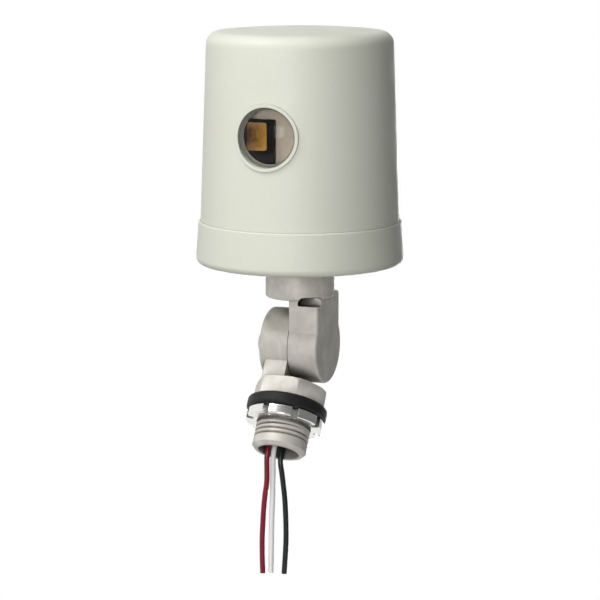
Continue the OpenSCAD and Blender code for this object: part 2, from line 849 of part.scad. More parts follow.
// Leads inside the neck, each from the upper arm's passage to its terminal's foot
foot_top = deck_z + brass_t;
black_inner = [
    [5.8, 0.6, 12], [5.8, 0.6, 18], [5.6, 1, 24], [5, 2, base_z], [5, 2, deck_z + 2],
    [5.2, 3.5, deck_z + 6], [5.4, 6.5, deck_z + 8.2], [5.6, 9.5, deck_z + 7.2],
    [5.7, 11.6, deck_z + 4.4], [5.7, 11.6, foot_top]
];
red_inner = [
    [3.5, 0.7, 12], [3.5, 0.7, 18], [3.1, 0.9, 24], [-1.4, 2, base_z], [-5, 2, deck_z + 2],
    [-5.2, 3.5, deck_z + 6], [-5.4, 6.5, deck_z + 8.2], [-5.6, 9.5, deck_z + 7.2],
    [-5.7, 11.6, deck_z + 4.4], [-5.7, 11.6, foot_top]
];
white_inner = [
    [4.5, -1.3, 12], [4.5, -1.3, 18], [4.2, -1.6, 24], [1, -4.6, base_z], [-1, -5.4, deck_z + 2],
    [-3, -4.6, deck_z + 6], [-8, -2.4, deck_z + 8.4], [-13, 0, deck_z + 7.2],
    [-16, 1, deck_z + 4.4], [-16, 1, foot_top]
];

module inner_lead(path, side) {
    in_head() tube(path, lead_d / 2, side);
}

module inner_lead_black() {
    color([0.08, 0.08, 0.09]) inner_lead(black_inner, [1, 0, 0]);
}

module inner_lead_red() {
    color([0.62, 0.14, 0.24]) inner_lead(red_inner, [1, 0, 0]);
}

module inner_lead_white() {
    color([0.93, 0.92, 0.90]) inner_lead(white_inner, [0.4, 0.92, 0]);
}

// Leads outside, from the lower arm's passage through the nipple's bore down to their cut ends
lead_black_path = [
    [-3.4, 11.4, 19.6], [-3.4, 9.3, 16.2], [-3.3, 7.4, 12.7], [-2.6, 6.4, 8.6], [-1.9, 6.3, 4],
    [-1.5, 5.8, -0.4], [-1.3, 4.7, -4.4], [-1.3, 2.6, -7.5], [-1.2, 0.8, -10.2], [-1, -0.3, -13.2],
    [-0.4, -0.5, -17], [0.2, -0.5, -21.6], [0.8, -0.5, -27], [1.1, -0.5, -32], [1.3, -0.5, -38],
    [1.3, -0.5, -44], [1, -0.5, -50], [0.5, -0.5, -57.2]
];
lead_red_path = [
    [-5.8, 11.5, 19.6], [-5.8, 9.4, 16.2], [-5.8, 7.4, 12.7], [-5.8, 5.7, 9.1], [-5.8, 4.4, 5.2],
    [-5.7, 3.1, 1.2], [-5.7, 1.8, -2.6], [-5.7, -0.2, -5.8], [-5.7, -1.8, -8.6],
    [-5.7, -2.6, -11.6], [-5.7, -2.6, -16], [-5.8, -2.6, -21], [-6.5, -2.6, -26], [-7, -2.6, -31],
    [-7.4, -2.6, -37], [-7.7, -2.6, -43], [-7.7, -2.6, -50], [-7.5, -2.6, -57.2]
];
lead_white_path = [
    [-4.5, 13.2, 18.5], [-4.5, 11.1, 15.1], [-4.5, 9.1, 11.7], [-4.4, 7.5, 7.9], [-4.3, 6.2, 4.1],
    [-4, 5, 0.1], [-3.9, 3.6, -3.6], [-3.9, 1.6, -6.8], [-3.9, 0, -9.6], [-3.9, -0.8, -12.6],
    [-3.9, -0.8, -17], [-4, -0.8, -22], [-4.1, -0.8, -27], [-4.3, -0.8, -32], [-4.5, -0.8, -38],
    [-4.6, -0.8, -44], [-4.7, -0.8, -50], [-4.8, -0.8, -57.2]
];

module outer_lead(path) {
    tube(path, lead_d / 2, [1, 0, 0]);
}

module lead_black() {
    color([0.08, 0.08, 0.09]) outer_lead(lead_black_path);
}

module lead_red() {
    color([0.62, 0.14, 0.24]) outer_lead(lead_red_path);
}

module lead_white() {
    color([0.93, 0.92, 0.90]) outer_lead(lead_white_path);
}

cover();
base();
cover_seal();
window_lens();
cell_holder();
cell_case();
photocell();
cell_leads();
switch_plate();
plate_screws();
line_terminal();
load_terminal();
neutral_terminal();
terminal_rivets();
bimetal_blade();
moving_contact();
compensating_blade();
fixed_contact();
calibration_screw();
heater_resistor();
surge_disc();
inner_lead_black();
inner_lead_red();
inner_lead_white();
swivel_head_arm();
neck_seal();
neck_nut();
swivel_stem_arm();
swivel_screw();
swivel_washer();
swivel_seal();
mounting_gasket();
conduit_locknut();
lead_black();
lead_red();
lead_white();
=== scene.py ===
"""The looks of a photocell switch on a swivel, dressed round its CAD frame. Lengths are in metres."""
import json
import math

import bmesh
import bpy
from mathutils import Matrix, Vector


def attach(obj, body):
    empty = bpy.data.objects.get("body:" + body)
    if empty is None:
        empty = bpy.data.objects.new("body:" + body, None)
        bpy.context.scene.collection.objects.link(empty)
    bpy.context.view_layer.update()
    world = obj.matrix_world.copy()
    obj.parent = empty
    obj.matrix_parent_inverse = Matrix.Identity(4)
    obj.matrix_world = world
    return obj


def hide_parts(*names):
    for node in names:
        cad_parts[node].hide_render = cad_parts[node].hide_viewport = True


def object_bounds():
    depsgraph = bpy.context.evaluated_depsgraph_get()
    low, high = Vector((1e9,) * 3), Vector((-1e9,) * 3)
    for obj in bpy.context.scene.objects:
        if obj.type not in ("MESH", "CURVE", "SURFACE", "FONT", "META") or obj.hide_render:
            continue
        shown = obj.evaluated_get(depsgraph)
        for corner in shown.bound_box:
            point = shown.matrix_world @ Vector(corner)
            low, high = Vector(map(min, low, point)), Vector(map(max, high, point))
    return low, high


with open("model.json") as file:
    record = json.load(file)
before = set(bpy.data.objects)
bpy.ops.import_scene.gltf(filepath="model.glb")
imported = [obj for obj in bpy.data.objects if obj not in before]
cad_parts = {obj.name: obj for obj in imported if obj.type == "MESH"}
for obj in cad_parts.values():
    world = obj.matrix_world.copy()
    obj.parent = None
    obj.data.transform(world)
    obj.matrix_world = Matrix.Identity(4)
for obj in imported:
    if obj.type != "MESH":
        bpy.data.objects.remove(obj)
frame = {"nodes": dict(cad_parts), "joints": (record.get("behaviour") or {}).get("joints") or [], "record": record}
cad_low, cad_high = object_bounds()

MM = 0.001
UM = 0.000001

# Camera, set from the photograph's vanishing lines and scale
CAMERA_AZIMUTH = math.radians(20.5)
CAMERA_DISTANCE = 937 * MM
CAMERA_HEIGHT = 208 * MM
CAMERA_AIM = 47 * MM
CAMERA_LENS = 147.6
CAMERA_SENSOR = 36

# Studio
WHITE = (1, 1, 1, 1)
FLOOR_HEIGHT = -300 * MM
FLOOR_RADIUS = 0.6
FLOOR_SIDES = 96
FLOOR_FADE = (0.35, 0.9)  # shares of the radius between which the floor fades to white
FLOOR_BOUNCE = 0.35      # how much light the floor sends up to the part
FLOOR_PALE = 0.34        # how much of its light shows, so that a shadow shows too
FLOOR_GLOW = 0.76        # what brings the lit floor up to white
FILL_SIDE = (-15, 5)     # turn and rise of the middle of the soft fill, in degrees
FILL_COLOUR = (0.97, 0.985, 1, 1)
FILL_LEVEL = 0.68
FILL_EDGE = 0.16         # cosine of the angle at which the fill ends
DARK_SIDE = (30, -5)     # turn and rise of the side of the room that reflects dark
DARK_LEVEL = 0.2
DARK_FADE = (-0.6, 0.15)  # cosines between which reflections go from white to dark

# Thread on the nipple, a half inch conduit thread of 14 turns to the inch
THREAD_PITCH = 25.4 * MM / 14
THREAD_DEPTH = 0.62 * MM
THREAD_TURNS = 2.7
THREAD_START = 0.7 * MM
THREAD_STEPS = 48        # steps a turn
THREAD_EASE = 0.25       # turns over which the groove runs in and out
THREAD_LIFT = 0.02 * MM  # how far the cutter clears the nipple at its ends
CUTTER_REACH = 0.4 * MM  # how far the cutter stands out of the nipple
CUTTER_FLARE = 0.3       # how far the cutter's sides spread there, against the groove's own slope
GROOVE_HALF_WIDTH = 0.46 * THREAD_PITCH
GROOVE_END_SHARE = 0.4   # width at the groove's ends, as a share of its full width

# Clean-up of the cut mesh
WELD = 0.5 * UM          # points nearer than this are one
SLIVER = 2 * UM          # edges shorter than this go
FLAT_ANGLE = math.radians(0.4)
SHARP_ANGLE = math.radians(32)

# Leads
LEAD_RADIUS = 1.05 * MM
LEAD_ROUND_STEPS = 6
LEAD_LENGTH_STEPS = 8
STRAND_RADIUS = 0.2 * MM
STRAND_SHOWS = 0.1 * MM
STRAND_SPACING = 2.1 * STRAND_RADIUS
STRAND_SIDES = 12
STRAND_PROFILE = [(-1.5 * MM, 1.0), (-0.06 * MM, 1.0), (-0.02 * MM, 0.8), (0, 0.35)]  # along, width

swivel = next(joint for joint in frame["joints"] if joint["name"] == "swivel")
PIVOT = Vector(swivel["pos_m"])
thread_mount = next(mount for mount in frame["record"]["mounts"] if mount["name"] == "conduit_thread")
THREAD_ORIGIN = Vector(thread_mount["pos_m"])
THREAD_AXIS = Vector(thread_mount["axis"]).normalized()
THREAD_RADIUS = thread_mount["dims"]["r_mm"] * MM


# Helpers for node materials

def node(tree, kind, settings=None, inputs=None):
    """A shader node with its settings and the values of its unlinked sockets."""
    made = tree.nodes.new(kind)
    for name, value in (settings or {}).items():
        setattr(made, name, value)
    for name, value in (inputs or {}).items():
        made.inputs[name].default_value = value
    return made


def principled(name, roughness, metallic=0.0, **sockets):
    """A new material with its tree and its Principled shader."""
    made = bpy.data.materials.new(name)
    made.use_nodes = True
    shader = made.node_tree.nodes["Principled BSDF"]
    shader.inputs["Roughness"].default_value = roughness
    shader.inputs["Metallic"].default_value = metallic
    for socket, value in sockets.items():
        shader.inputs[socket.replace("_", " ")].default_value = value
    return made, made.node_tree, shader


def grain(tree, size, detail=3.0, stretch=(1, 1, 1), distortion=0.0):
    """Noise in the piece's own space, with grains of that size in metres."""
    place = node(tree, "ShaderNodeTexCoord")
    scaled = node(tree, "ShaderNodeMapping", inputs={"Scale": stretch})
    noise = node(tree, "ShaderNodeTexNoise", inputs={
        "Scale": 1 / size, "Detail": detail, "Roughness": 0.55, "Distortion": distortion})
    tree.links.new(place.outputs["Object"], scaled.inputs["Vector"])
    tree.links.new(scaled.outputs["Vector"], noise.inputs["Vector"])
    return noise.outputs[0]


def spread(tree, value, low, high, start=0.3, end=0.7):
    """A value mapped from start..end to low..high."""
    mapped = node(tree, "ShaderNodeMapRange", inputs={
        "From Min": start, "From Max": end, "To Min": low, "To Max": high})
    tree.links.new(value, mapped.inputs["Value"])
    return mapped.outputs["Result"]


def blend_colours(tree, factor, first, second, kind="MIX"):
    """Two colours mixed by a factor; each colour is a value or a socket."""
    mixed = node(tree, "ShaderNodeMix", settings={"data_type": "RGBA", "blend_type": kind})
    for name, value in (("Factor", factor), ("A", first), ("B", second)):
        socket = next(s for s in mixed.inputs if s.name == name and s.enabled)
        if isinstance(value, bpy.types.NodeSocket):
            tree.links.new(value, socket)
        elif name == "Factor":
            socket.default_value = value
        else:
            socket.default_value = (*value, 1)
    return next(s for s in mixed.outputs if s.enabled)


def shade(colour, factor):
    """A colour made darker or lighter."""
    return tuple(min(1.0, channel * factor) for channel in colour)


def relief(tree, shader, value, height, soften=0.0):
    """Bump of that height in metres on the shader, over edges softened by a small radius."""
    bump = node(tree, "ShaderNodeBump", inputs={"Strength": 1.0, "Distance": height})
    tree.links.new(value, bump.inputs["Height"])
    before = shader.inputs["Normal"]
    if before.is_linked:
        tree.links.new(before.links[0].from_socket, bump.inputs["Normal"])
    elif soften:
        edge = node(tree, "ShaderNodeBevel", settings={"samples": 6}, inputs={"Radius": soften})
        tree.links.new(edge.outputs["Normal"], bump.inputs["Normal"])
    tree.links.new(bump.outputs["Normal"], before)


def corner_shade(tree, reach, alone=True):
    """One in the open and nearly zero deep in corners, of the piece alone or with its neighbours: the mask for
    painted shade.
    """
    corner = node(tree, "ShaderNodeAmbientOcclusion",
                  settings={"samples": 6, "only_local": alone}, inputs={"Distance": reach})
    return corner.outputs["AO"]


def plain_finish(name, colour, roughness, metallic=0.0, variation=0.08, size=2 * MM, height=6 * UM,
                 soften=0.15 * MM, stretch=(1, 1, 1), **sockets):
    """A finish with mottled colour, uneven gloss and fine relief."""
    made, tree, shader = principled(name, roughness, metallic, **sockets)
    mottle = grain(tree, size, stretch=stretch)
    tint = blend_colours(tree, mottle, shade(colour, 1 - variation), shade(colour, 1 + variation))
    tree.links.new(tint, shader.inputs["Base Color"])
    gloss = spread(tree, grain(tree, size * 1.7), roughness * 0.85, roughness * 1.15)
    tree.links.new(gloss, shader.inputs["Roughness"])
    relief(tree, shader, grain(tree, size * 0.2, stretch=stretch), height, soften)
    return made


# Finishes, one for each material slot of the record

def housing_finish():
    """Pale grey-cream enamel with a faint orange peel, a little dulled, with painted shade darkening its corners
    and seams.
    """
    colour = (0.688, 0.695, 0.59)
    made, tree, shader = principled("housing_finish", 0.42, Specular_IOR_Level=0.2)
    broad = spread(tree, grain(tree, 45 * MM, detail=2), 0.0, 1.0)
    tint = blend_colours(tree, broad, shade(colour, 0.975), (0.693, 0.704, 0.612))
    speck = spread(tree, grain(tree, 0.9 * MM, detail=4), 0.965, 1.0, start=0.25, end=0.5)
    speckled = blend_colours(tree, 1.0, tint, speck, kind="MULTIPLY")
    # Painted shade: the colour darkens in the piece's own corners and in the seam against its neighbours
    painted_corner_shade = spread(tree, corner_shade(tree, 3 * MM), 0.55, 1.0, start=0.15, end=0.75)
    shaded_colour = blend_colours(tree, painted_corner_shade, (0.24, 0.235, 0.19), speckled)
    painted_seam_shade = spread(tree, corner_shade(tree, 2.5 * MM, alone=False), 0.4, 1.0, start=0.3, end=0.8)
    shaded_colour = blend_colours(tree, painted_seam_shade, (0.2, 0.195, 0.16), shaded_colour)
    tree.links.new(shaded_colour, shader.inputs["Base Color"])
    tree.links.new(spread(tree, grain(tree, 12 * MM), 0.36, 0.5), shader.inputs["Roughness"])
    relief(tree, shader, grain(tree, 1.1 * MM, detail=2), 7 * UM, soften=0.35 * MM)
    relief(tree, shader, grain(tree, 9 * MM, detail=1), 22 * UM)
    return made


def die_cast_finish():
    """Die-cast zinc, matt and mottled, with painted shade darkening its hollows, corners and the gaps between
    parts.
    """
    colour = (0.65, 0.62, 0.565)
    made, tree, shader = principled("die_cast_finish", 0.5, metallic=0.25, Specular_IOR_Level=0.35)
    blotch = spread(tree, grain(tree, 6 * MM, detail=5, distortion=0.6), 0.0, 1.0)
    tint = blend_colours(tree, blotch, shade(colour, 0.86), shade(colour, 1.12))
    # Painted shade: reach, the piece alone or with its neighbours, and how open a place is where the painted shade
    # is darkest and where it ends
    hollows = (20 * MM, True, 0.38, 0.7)
    corners = (5 * MM, True, 0.45, 0.85)
    neighbours = (8 * MM, False, 0.2, 0.62)
    for reach, alone, start, end in (hollows, corners, neighbours):
        unshaded = spread(tree, corner_shade(tree, reach, alone), 0.0, 1.0, start=start, end=end)
        tint = blend_colours(tree, unshaded, (0.035, 0.03, 0.024), tint)
    tree.links.new(tint, shader.inputs["Base Color"])
    tree.links.new(spread(tree, grain(tree, 2.5 * MM, detail=4), 0.44, 0.62), shader.inputs["Roughness"])
    relief(tree, shader, grain(tree, 0.45 * MM, detail=3), 12 * UM, soften=0.3 * MM)
    relief(tree, shader, grain(tree, 5 * MM, detail=2), 25 * UM)
    return made


def lens_finish():
    """Clear moulded plastic with a faint ripple, which lets light through to the cell."""
    made, tree, shader = principled(
        "lens_finish", 0.03, Transmission_Weight=1.0, IOR=1.49, Specular_Tint=(0.12, 0.12, 0.12, 1))
    haze = spread(tree, grain(tree, 3 * MM), 0.02, 0.06)
    tree.links.new(haze, shader.inputs["Roughness"])
    tint = blend_colours(tree, grain(tree, 6 * MM), (0.93, 0.95, 0.96), (0.99, 0.985, 0.98))
    tree.links.new(tint, shader.inputs["Base Color"])
    relief(tree, shader, grain(tree, 2.5 * MM, detail=2), 30 * UM)
    path = node(tree, "ShaderNodeLightPath")
    clear = node(tree, "ShaderNodeBsdfTransparent", inputs={"Color": (0.85, 0.85, 0.85, 1)})
    mixed = node(tree, "ShaderNodeMixShader")
    tree.links.new(path.outputs["Is Shadow Ray"], mixed.inputs[0])
    tree.links.new(shader.outputs[0], mixed.inputs[1])
    tree.links.new(clear.outputs[0], mixed.inputs[2])
    tree.links.new(mixed.outputs[0], tree.nodes["Material Output"].inputs["Surface"])
    return made


def cell_finish():
    """Amber cell, golden, with a painted shadow darkening one side to brown, and paler towards its ends."""
    made, tree, shader = principled("cell_finish", 0.3, Specular_IOR_Level=0.25)
    place = node(tree, "ShaderNodeTexCoord")
    axes = node(tree, "ShaderNodeSeparateXYZ")
    tree.links.new(place.outputs["Generated"], axes.inputs[0])
    cloud = spread(tree, grain(tree, 2 * MM, detail=2), -0.15, 0.15)
    across = node(tree, "ShaderNodeMath", settings={"operation": "ADD"})
    tree.links.new(axes.outputs["X"], across.inputs[0])
    tree.links.new(cloud, across.inputs[1])
    # Painted shadow: the cell goes dark brown on the side that the window's edge shades
    shadow_to_gold = spread(tree, across.outputs[0], 0.0, 1.0, start=0.1, end=0.95)
    tint = blend_colours(tree, shadow_to_gold, (0.05, 0.015, 0.002), (0.29, 0.14, 0.02))
    for start, end in ((0.3, 0.0), (0.75, 1.0)):
        pale = spread(tree, axes.outputs["Z"], 0.0, 0.6, start=start, end=end)
        tint = blend_colours(tree, pale, tint, (0.35, 0.20, 0.06))
    speck = spread(tree, grain(tree, 0.25 * MM), 0.85, 1.0)
    tree.links.new(blend_colours(tree, 1.0, tint, speck, kind="MULTIPLY"), shader.inputs["Base Color"])
    tree.links.new(spread(tree, grain(tree, 1 * MM), 0.22, 0.4), shader.inputs["Roughness"])
    relief(tree, shader, grain(tree, 1.2 * MM, detail=1), 12 * UM, soften=0.2 * MM)
    return made


FINISHES = {
    "housing": housing_finish(),
    "die_cast": die_cast_finish(),
    "bright_metal": plain_finish(
        "bright_metal_finish", (0.80, 0.80, 0.775), 0.26, metallic=1.0, size=3 * MM, height=8 * UM),
    "steel": plain_finish(
        "steel_finish", (0.55, 0.545, 0.53), 0.32, metallic=1.0, height=5 * UM, stretch=(1, 1, 0.2)),
    "rubber": plain_finish(
        "rubber_finish", (0.012, 0.011, 0.012), 0.55, variation=0.3, size=1.5 * MM, height=18 * UM,
        Specular_IOR_Level=0.3),
    "lens": lens_finish(),
    "black_plastic": plain_finish(
        "black_plastic_finish", (0.004, 0.003, 0.0025), 0.5, variation=0.25, size=1 * MM, height=8 * UM,
        Specular_IOR_Level=0.08),
    "fibre": plain_finish(
        "fibre_finish", (0.35, 0.292, 0.226), 0.7, variation=0.2, size=1.2 * MM, height=15 * UM),
    "cell": cell_finish(),
    "phenolic": plain_finish(
        "phenolic_finish", (0.13, 0.062, 0.03), 0.45, variation=0.25, size=1.2 * MM, stretch=(0.2, 1, 1)),
    "brass": plain_finish("brass_finish", (0.70, 0.50, 0.22), 0.28, metallic=1.0, stretch=(0.2, 1, 1)),
    "bimetal": plain_finish("bimetal_finish", (0.50, 0.46, 0.40), 0.34, metallic=1.0, stretch=(0.15, 1, 1)),
    "silver": plain_finish("silver_finish", (0.82, 0.81, 0.78), 0.22, metallic=1.0, size=0.8 * MM),
    "ceramic": plain_finish("ceramic_finish", (0.72, 0.70, 0.64), 0.6, variation=0.06, size=0.8 * MM),
    "surge_blue": plain_finish("surge_blue_finish", (0.03, 0.13, 0.34), 0.35, variation=0.12),
    "tinned_wire": plain_finish("tinned_wire_finish", (0.72, 0.71, 0.69), 0.25, metallic=1.0, size=1 * MM),
    "insulation_black": plain_finish(
        "insulation_black_finish", (0.012, 0.016, 0.014), 0.36, variation=0.25, size=1.5 * MM),
    "insulation_red": plain_finish(
        "insulation_red_finish", (0.22, 0.008, 0.026), 0.36, variation=0.12, size=1.5 * MM),
    "insulation_white": plain_finish(
        "insulation_white_finish", (0.93, 0.915, 0.90), 0.38, variation=0.03, size=1.5 * MM,
        Sheen_Weight=0.5),
}


# Pieces

def body_of(name):
    """The body that carries a CAD node."""
    bodies = frame["record"]["behaviour"]["bodies"]
    return next(body for body, members in bodies.items() if name in members)


def slot_of(name):
    """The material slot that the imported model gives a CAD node."""
    return frame["nodes"][name].data.materials[0].name.split(".")[0]


def link(name, data):
    """A new object in the scene."""
    made = bpy.data.objects.new(name, data)
    bpy.context.scene.collection.objects.link(made)
    return made


def apply_modifiers(piece):
    """The piece's mesh with its modifiers in it."""
    graph = bpy.context.evaluated_depsgraph_get()
    made = bpy.data.meshes.new_from_object(piece.evaluated_get(graph))
    piece.modifiers.clear()
    piece.data = made


def dress_cad_nodes():
    """Each CAD node takes the finish of its slot."""
    for name, piece in frame["nodes"].items():
        finish = FINISHES[slot_of(name)]
        for place in piece.material_slots:
            place.link = "OBJECT"
            place.material = finish


def welded_copy(name, new_name):
    """A copy of a CAD node's mesh with its faces joined, ready to be cut."""
    mesh = frame["nodes"][name].data.copy()
    if "custom_normal" in mesh.attributes:
        mesh.attributes.remove(mesh.attributes["custom_normal"])
    joined = bmesh.new()
    joined.from_mesh(mesh)
    bmesh.ops.remove_doubles(joined, verts=joined.verts, dist=WELD)
    joined.to_mesh(mesh)
    joined.free()
    return link(new_name, mesh)


def merge_flat_faces(piece):
    """Slivers go, and neighbouring faces in one plane become one, so that they shade evenly."""
    merged = bmesh.new()
    merged.from_mesh(piece.data)
    bmesh.ops.dissolve_degenerate(merged, dist=SLIVER, edges=merged.edges)
    bmesh.ops.dissolve_limit(merged, angle_limit=FLAT_ANGLE, verts=merged.verts, edges=merged.edges)
    bmesh.ops.dissolve_degenerate(merged, dist=SLIVER, edges=merged.edges)
    merged.to_mesh(piece.data)
    merged.free()


def thread_frame():
    """Two unit vectors across the thread's axis."""
    across = Vector((1, 0, 0))
    return across, THREAD_AXIS.cross(across).normalized()


def thread_groove():
    """A closed three-sided helix that cuts the thread's groove, running in and out at its ends."""
    across, up = thread_frame()
    outside = THREAD_RADIUS + CUTTER_REACH
    steps = int(THREAD_STEPS * THREAD_TURNS)
    ease_steps = THREAD_STEPS * THREAD_EASE
    rings = bmesh.new()
    sections = []
    for i in range(steps + 1):
        turn = 2 * math.pi * i / THREAD_STEPS
        along = THREAD_START + THREAD_PITCH * i / THREAD_STEPS
        ease = min(1.0, i / ease_steps, (steps - i) / ease_steps)
        depth = THREAD_DEPTH * ease - THREAD_LIFT * (1 - ease)
        half_width = GROOVE_HALF_WIDTH * (GROOVE_END_SHARE + (1 - GROOVE_END_SHARE) * ease)
        outward = across * math.cos(turn) + up * math.sin(turn)
        centre = THREAD_ORIGIN + THREAD_AXIS * along
        flare = CUTTER_FLARE * CUTTER_REACH / THREAD_DEPTH * half_width
        beside = THREAD_AXIS * (half_width + flare)
        sections.append([
            rings.verts.new(centre + outward * (THREAD_RADIUS - depth)),
            rings.verts.new(centre + outward * outside + beside),
            rings.verts.new(centre + outward * outside - beside),
        ])
    for first, second in zip(sections, sections[1:]):
        for k in range(3):
            n = (k + 1) % 3
            rings.faces.new((first[k], first[n], second[n], second[k]))
    rings.faces.new(sections[0])
    rings.faces.new(reversed(sections[-1]))
    bmesh.ops.recalc_face_normals(rings, faces=rings.faces)
    mesh = bpy.data.meshes.new("thread_groove")
    rings.to_mesh(mesh)
    rings.free()
    return link("thread_groove", mesh)


def threaded_stem():
    """The lower arm with its nipple's thread cut in."""
    stem = welded_copy("swivel_stem_arm", "threaded_stem_arm")
    groove = thread_groove()
    cut = stem.modifiers.new("thread", "BOOLEAN")
    cut.operation = "DIFFERENCE"
    cut.solver = "EXACT"
    cut.object = groove
    apply_modifiers(stem)
    bpy.data.objects.remove(groove)
    merge_flat_faces(stem)
    stem.data.materials.clear()
    stem.data.materials.append(FINISHES["die_cast"])
    stem.data.shade_smooth()
    stem.data.set_sharp_from_angle(angle=SHARP_ANGLE)
    even = stem.modifiers.new("even_normals", "WEIGHTED_NORMAL")
    even.keep_sharp = True
    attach(stem, body_of("swivel_stem_arm"))
    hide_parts("swivel_stem_arm")


# Routes of the leads in millimetres, from the lower arm's passage to their cut ends
LEAD_ROUTES = {
    "lead_black": [
        (-3.4, 11.4, 19.6), (-3.4, 9.3, 16.2), (-3.3, 7.4, 12.7), (-2.6, 6.4, 8.6), (-1.9, 6.3, 4),
        (-1.5, 5.8, -0.4), (-1.3, 4.7, -4.4), (-1.3, 2.6, -7.5), (-1.2, 0.8, -10.2), (-1, -0.3, -13.2),
        (-0.4, -0.5, -17), (0.2, -0.5, -21.6), (0.8, -0.5, -27), (1.1, -0.5, -32), (1.3, -0.5, -38),
        (1.3, -0.5, -44), (1, -0.5, -50), (0.5, -0.5, -57.2),
    ],
    "lead_red": [
        (-5.8, 11.5, 19.6), (-5.8, 9.4, 16.2), (-5.8, 7.4, 12.7), (-5.8, 5.7, 9.1), (-5.8, 4.4, 5.2),
        (-5.7, 3.1, 1.2), (-5.7, 1.8, -2.6), (-5.7, -0.2, -5.8), (-5.7, -1.8, -8.6),
        (-5.7, -2.6, -11.6), (-5.7, -2.6, -16), (-5.8, -2.6, -21), (-6.5, -2.6, -26), (-7, -2.6, -31),
        (-7.4, -2.6, -37), (-7.7, -2.6, -43), (-7.7, -2.6, -50), (-7.5, -2.6, -57.2),
    ],
    "lead_white": [
        (-4.5, 13.2, 18.5), (-4.5, 11.1, 15.1), (-4.5, 9.1, 11.7), (-4.4, 7.5, 7.9), (-4.3, 6.2, 4.1),
        (-4, 5, 0.1), (-3.9, 3.6, -3.6), (-3.9, 1.6, -6.8), (-3.9, 0, -9.6), (-3.9, -0.8, -12.6),
        (-3.9, -0.8, -17), (-4, -0.8, -22), (-4.1, -0.8, -27), (-4.3, -0.8, -32), (-4.5, -0.8, -38),
        (-4.6, -0.8, -44), (-4.7, -0.8, -50), (-4.8, -0.8, -57.2),
    ],
}


def lead_core(name, end, direction):
    """Seven strands that show at a lead's cut end."""
    strands = bmesh.new()
    side = direction.orthogonal().normalized()
    other = direction.cross(side).normalized()
    middles = [Vector((0, 0))]
    for k in range(6):
        turn = math.pi * k / 3
        middles.append(Vector((math.cos(turn), math.sin(turn))) * STRAND_SPACING)
    for middle in middles:
        centre = end + side * middle.x + other * middle.y
        rings = []
        for along, width in STRAND_PROFILE:
            ring = []
            for i in range(STRAND_SIDES):
                turn = 2 * math.pi * i / STRAND_SIDES
                round_point = side * math.cos(turn) + other * math.sin(turn)
                ring.append(strands.verts.new(
                    centre + direction * along + round_point * STRAND_RADIUS * width))
            rings.append(ring)
        for first, second in zip(rings, rings[1:]):
            for i in range(STRAND_SIDES):
                n = (i + 1) % STRAND_SIDES
                strands.faces.new((first[i], first[n], second[n], second[i]))
        strands.faces.new(reversed(rings[0]))
        strands.faces.new(rings[-1])
    bmesh.ops.recalc_face_normals(strands, faces=strands.faces)
    mesh = bpy.data.meshes.new(name)
    strands.to_mesh(mesh)
    strands.free()
    mesh.materials.append(FINISHES["tinned_wire"])
    mesh.shade_smooth()
    return link(name, mesh)


def lead(name, route):
    """A hanging lead: round insulation along its route, with the core showing at the cut."""
    points = [Vector(point) * MM for point in route]
    direction = (points[-1] - points[-2]).normalized()
    tip = points[-1].copy()
    points[-1] = tip - direction * STRAND_SHOWS
    curve = bpy.data.curves.new(name + "_wire", "CURVE")
    curve.dimensions = "3D"
    curve.bevel_depth = LEAD_RADIUS
    curve.bevel_resolution = LEAD_ROUND_STEPS
    curve.resolution_u = LEAD_LENGTH_STEPS
    curve.use_fill_caps = True
    spline = curve.splines.new("BEZIER")
    spline.bezier_points.add(len(points) - 1)
    for knot, point in zip(spline.bezier_points, points):
        knot.co = point
        knot.handle_left_type = "AUTO"
        knot.handle_right_type = "AUTO"
    slot = name.replace("lead", "insulation")
    curve.materials.append(FINISHES[slot])
    wire = link(name + "_wire", curve)
    core = lead_core(name + "_core", tip, direction)
    body = body_of(name)
    for piece in (wire, core):
        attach(piece, body)
    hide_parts(name)


# Stage

def ray_is(tree, *kinds):
    """One for rays of any of these kinds."""
    path = node(tree, "ShaderNodeLightPath")
    found = path.outputs[kinds[0]]
    for kind in kinds[1:]:
        either = node(tree, "ShaderNodeMath", settings={"operation": "MAXIMUM"})
        tree.links.new(found, either.inputs[0])
        tree.links.new(path.outputs[kind], either.inputs[1])
        found = either.outputs[0]
    return found


def choose(tree, factor, first, second):
    """The first shader, or the second where the factor is one."""
    mixed = node(tree, "ShaderNodeMixShader")
    tree.links.new(factor, mixed.inputs[0])
    tree.links.new(first, mixed.inputs[1])
    tree.links.new(second, mixed.inputs[2])
    return mixed.outputs[0]


